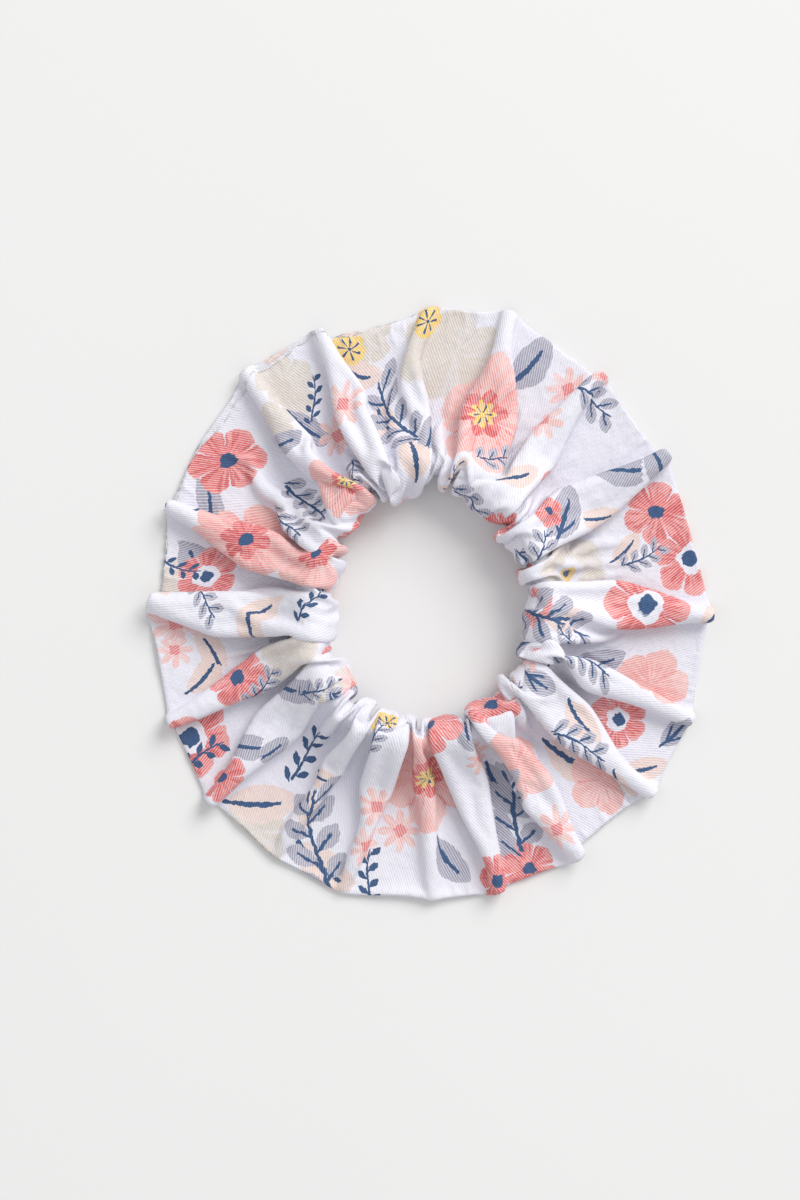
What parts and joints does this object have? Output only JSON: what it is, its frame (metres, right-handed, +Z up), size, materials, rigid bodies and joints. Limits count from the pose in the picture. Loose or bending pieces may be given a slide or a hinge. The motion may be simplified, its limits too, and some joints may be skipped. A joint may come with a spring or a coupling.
{
  "type": "hair scrunchie",
  "caption": "Soft hair tie: a floral cotton sleeve gathered on a loop of elastic, lying flat, with a round opening that stretches to take a ponytail or a wrist.",
  "frame": {"origin": "centre of the opening, on the surface that the ring lies on", "axes": "+Z up through the opening; the ring lies in XY; +X is the way it is pulled open, and +Y points to the side with the hand-closed seam"},
  "size_m": [0.117, 0.117, 0.018],
  "materials": {
    "floral_cotton": "printed cotton twill, matte",
    "elastic": "braided elastic, matte",
    "thread": "spun polyester thread"
  },
  "bodies": {
    "slice_1": {"gather_09": "floral_cotton", "elastic_band": "elastic", "long_seam_stitches": "thread"},
    "slice_2": {"gather_08": "floral_cotton", "gather_10": "floral_cotton"},
    "slice_3": {"gather_07": "floral_cotton", "gather_11": "floral_cotton"},
    "slice_4": {"gather_06": "floral_cotton", "gather_12": "floral_cotton", "closing_stitches": "thread"},
    "slice_5": {"gather_05": "floral_cotton", "gather_13": "floral_cotton", "elastic_lap_stitches": "thread"},
    "slice_6": {"gather_04": "floral_cotton", "gather_14": "floral_cotton"},
    "slice_7": {"gather_03": "floral_cotton", "gather_15": "floral_cotton", "cross_seam_stitches": "thread"},
    "slice_8": {"gather_02": "floral_cotton", "gather_16": "floral_cotton"},
    "slice_9": {"gather_01": "floral_cotton"}
  },
  "joints": [
    {"name": "stretch", "type": "slide", "parent": "slice_1", "child": "slice_9", "axis": [1, 0, 0], "range_m": [0, 0.06], "stiffness_N_per_m": 85, "deforming": ["elastic_band", "long_seam_stitches"]},
    {"name": "stretch_2", "type": "slide", "parent": "slice_1", "child": "slice_2", "axis": [1, 0, 0], "range_m": [0, 0.00584]},
    {"name": "stretch_3", "type": "slide", "parent": "slice_1", "child": "slice_3", "axis": [1, 0, 0], "range_m": [0, 0.01046]},
    {"name": "stretch_4", "type": "slide", "parent": "slice_1", "child": "slice_4", "axis": [1, 0, 0], "range_m": [0, 0.01898]},
    {"name": "stretch_5", "type": "slide", "parent": "slice_1", "child": "slice_5", "axis": [1, 0, 0], "range_m": [0, 0.0305]},
    {"name": "stretch_6", "type": "slide", "parent": "slice_1", "child": "slice_6", "axis": [1, 0, 0], "range_m": [0, 0.04202]},
    {"name": "stretch_7", "type": "slide", "parent": "slice_1", "child": "slice_7", "axis": [1, 0, 0], "range_m": [0, 0.05054]},
    {"name": "stretch_8", "type": "slide", "parent": "slice_1", "child": "slice_8", "axis": [1, 0, 0], "range_m": [0, 0.05516]}
  ],
  "couplings": [
    {"joint": "stretch_2", "follows": "stretch", "ratio": 0.089},
    {"joint": "stretch_3", "follows": "stretch", "ratio": 0.166},
    {"joint": "stretch_4", "follows": "stretch", "ratio": 0.308},
    {"joint": "stretch_5", "follows": "stretch", "ratio": 0.5},
    {"joint": "stretch_6", "follows": "stretch", "ratio": 0.692},
    {"joint": "stretch_7", "follows": "stretch", "ratio": 0.834},
    {"joint": "stretch_8", "follows": "stretch", "ratio": 0.911}
  ]
}
